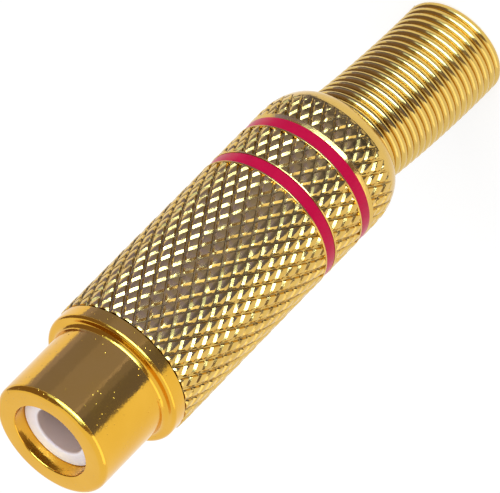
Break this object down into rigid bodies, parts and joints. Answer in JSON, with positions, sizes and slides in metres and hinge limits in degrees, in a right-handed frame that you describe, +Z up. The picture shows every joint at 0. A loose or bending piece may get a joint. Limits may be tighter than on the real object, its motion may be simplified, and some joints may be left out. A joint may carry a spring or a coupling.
{
  "type": "rca socket",
  "caption": "In-line gold-plated phono socket with smooth nose, flange, knurled screw-on barrel, coloured rings and a close-wound strain-relief spring.",
  "frame": {"origin": "On the connector's axis, at the height where the ground end of the spring stands on the surface.", "axes": "+Z runs up the connector's axis to the mating face. +X points at the tip of the spring's ground end, and +Y at the ground tag's tongue."},
  "size_m": [0.01, 0.01, 0.041],
  "materials": {
    "gold_plate": "polished gold plating on turned brass",
    "contact_gold": "gold plating on a sprung bronze tube",
    "spring_gold": "gold plating on drawn spring wire",
    "tinned_metal": "dull tin plating on stamped sheet",
    "white_plastic": "white moulded plastic with a soft sheen",
    "clear_plastic": "clear extruded tube",
    "crimson_enamel": "glossy enamel filled into a turned groove"
  },
  "bodies": {
    "spring": {"strain_spring": "spring_gold"},
    "barrel": {"barrel": "gold_plate", "front_colour_ring": "crimson_enamel", "rear_colour_ring": "crimson_enamel"},
    "socket": {"socket_shell": "gold_plate", "insulator": "white_plastic", "centre_contact": "contact_gold", "ground_tag": "tinned_metal", "insulating_sleeve": "clear_plastic"}
  },
  "joints": [
    {"name": "barrel_turn", "type": "hinge", "parent": "spring", "child": "barrel", "pos_m": [0, 0, 0.02], "axis": [0, 0, -1], "range_deg": [0, 2160]},
    {"name": "socket_travel", "type": "slide", "parent": "spring", "child": "socket", "axis": [0, 0, 1], "range_m": [0, 0.0045]}
  ],
  "couplings": [
    {"joint": "socket_travel", "follows": "barrel_turn", "m_per_rad": 0.00011937}
  ]
}
